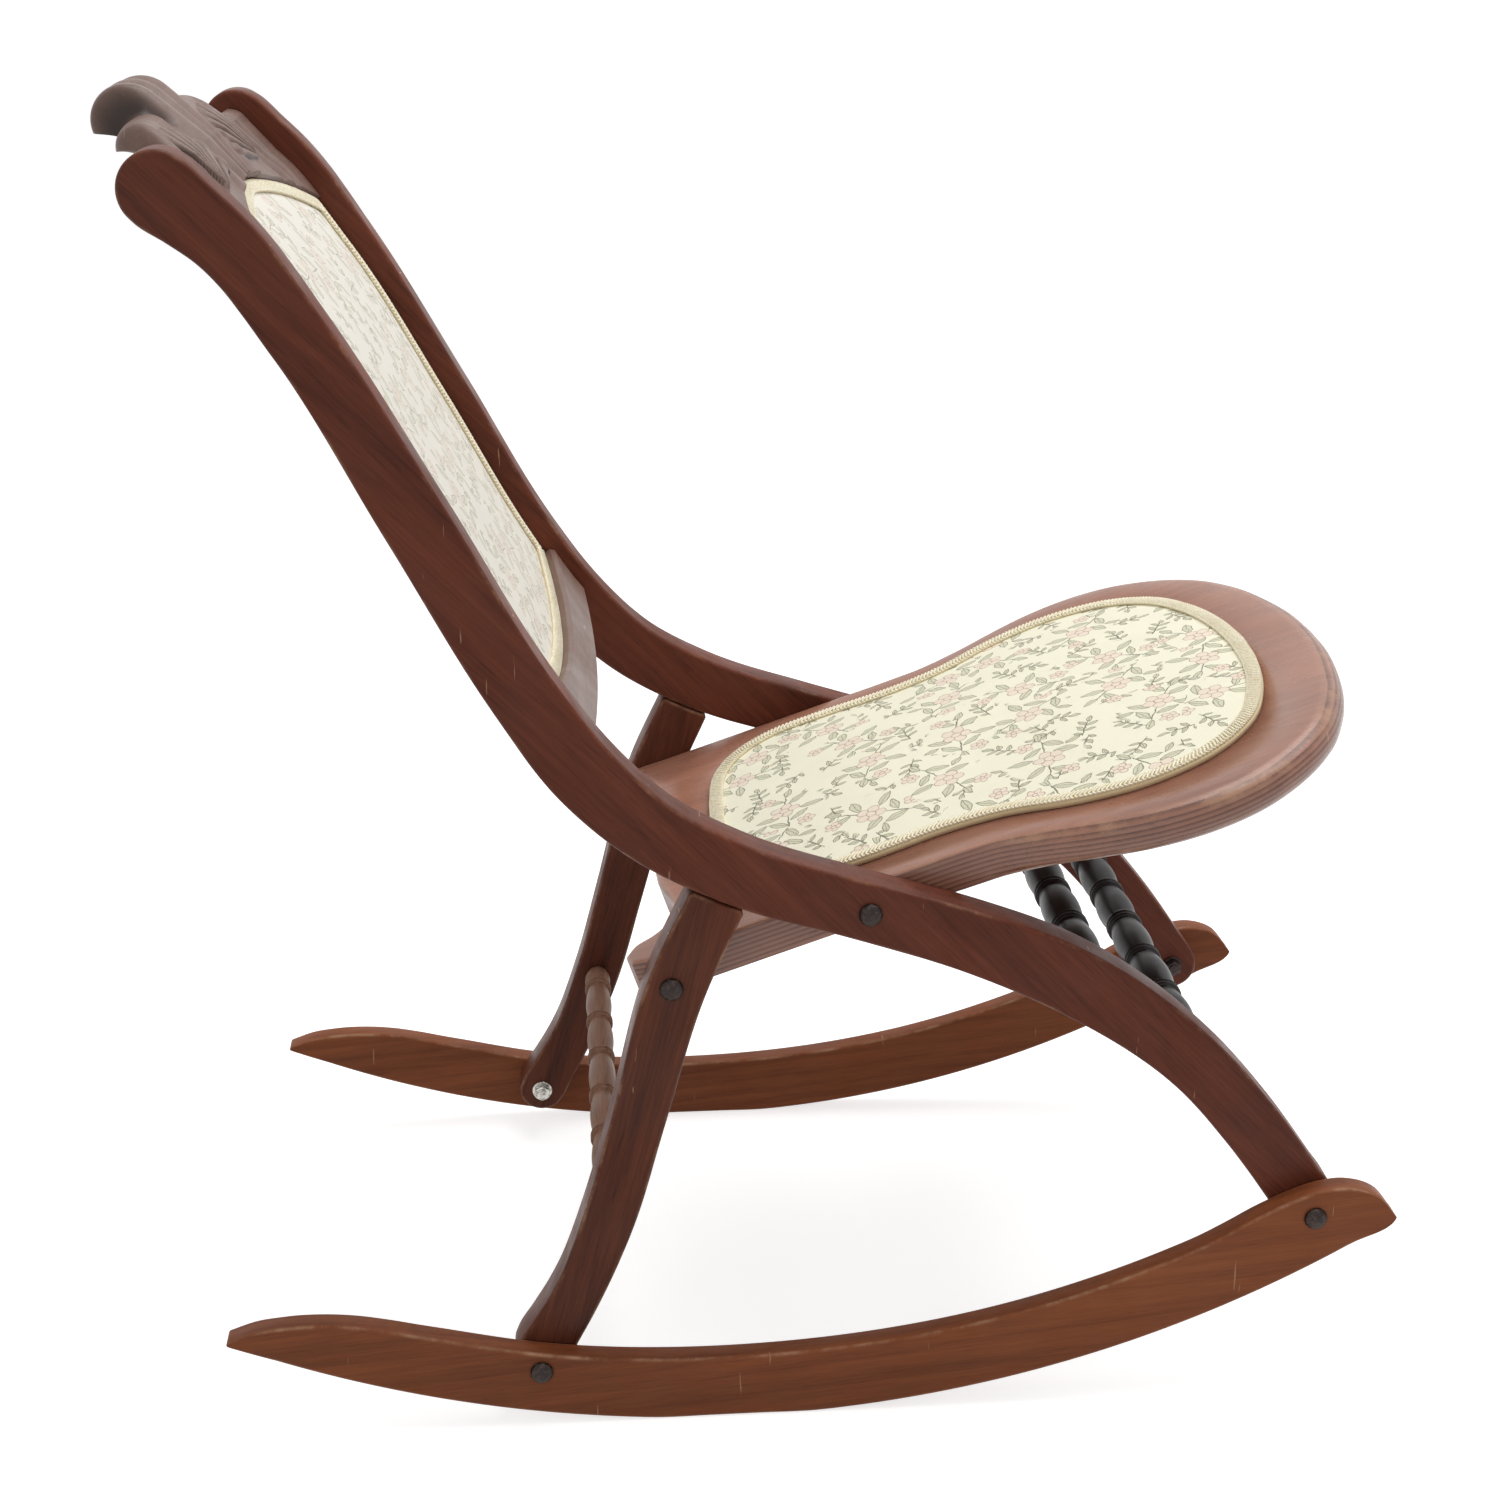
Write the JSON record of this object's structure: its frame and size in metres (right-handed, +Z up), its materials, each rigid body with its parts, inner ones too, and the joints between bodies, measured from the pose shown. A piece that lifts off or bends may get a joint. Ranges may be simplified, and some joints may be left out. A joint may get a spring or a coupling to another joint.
{
  "type": "folding rocking chair",
  "caption": "Armless folding rocking chair with curved wooden stiles, hinged rear legs, turned stretchers, a carved crest and an upholstered seat and back.",
  "frame": {"origin": "on the floor, at the middle of the chair's length and width", "axes": "+X forward, +Y the sitter's left, +Z up"},
  "size_m": [0.7864, 0.4306, 0.8104],
  "materials": {
    "walnut": "aged satin varnish",
    "seat_walnut": "worn satin varnish, strong grain",
    "crest_walnut": "carved, worn varnish",
    "panel_wood": "unfinished back board",
    "black_spindle": "black lacquer",
    "brown_spindle": "worn satin varnish",
    "tapestry": "cream tapestry with sprigs",
    "gimp": "cream scroll braid",
    "black_iron": "oxidised",
    "plated_steel": "dull plating"
  },
  "bodies": {
    "rockers": {"rocker_right": "walnut", "rocker_left": "walnut", "front_bolt_right": "black_iron", "front_bolt_left": "black_iron", "rear_bolt_right": "black_iron", "rear_bolt_left": "black_iron", "rear_washer_right": "plated_steel", "rear_washer_left": "plated_steel", "rear_nut_right": "plated_steel", "rear_nut_left": "plated_steel"},
    "rear_legs": {"rear_leg_right": "walnut", "rear_leg_left": "walnut", "rear_spindle": "brown_spindle"},
    "seat": {"seat_frame": "seat_walnut", "seat_panel": "panel_wood", "seat_pad": "tapestry", "seat_gimp": "gimp", "seat_screw_right": "black_iron", "seat_screw_left": "black_iron", "leg_screw_right": "black_iron", "leg_screw_left": "black_iron"},
    "back_frame": {"stile_right": "walnut", "stile_left": "walnut", "crest_rail": "crest_walnut", "back_lower_rail": "walnut", "back_panel": "panel_wood", "back_pad": "tapestry", "back_gimp": "gimp", "front_spindle_lower": "black_spindle", "front_spindle_upper": "black_spindle", "front_washer_right": "black_iron", "front_washer_left": "black_iron", "front_nut_right": "black_iron", "front_nut_left": "black_iron"}
  },
  "joints": [
    {"name": "rear_leg_pivot", "type": "hinge", "parent": "rockers", "child": "rear_legs", "pos_m": [-0.1492, 0, 0.039], "axis": [0, -1, 0], "range_deg": [-49.6, 0]},
    {"name": "seat_fold", "type": "hinge", "parent": "rear_legs", "child": "seat", "pos_m": [-0.0642, 0, 0.293], "axis": [0, -1, 0], "range_deg": [0, 171.35]},
    {"name": "back_pivot", "type": "hinge", "parent": "seat", "child": "back_frame", "pos_m": [0.0558, 0, 0.338], "axis": [0, -1, 0], "range_deg": [-100.1, 0]}
  ],
  "couplings": [
    {"joint": "rear_leg_pivot", "follows": "seat_fold", "ratio": -0.28915},
    {"joint": "back_pivot", "follows": "seat_fold", "ratio": -0.58356}
  ]
}
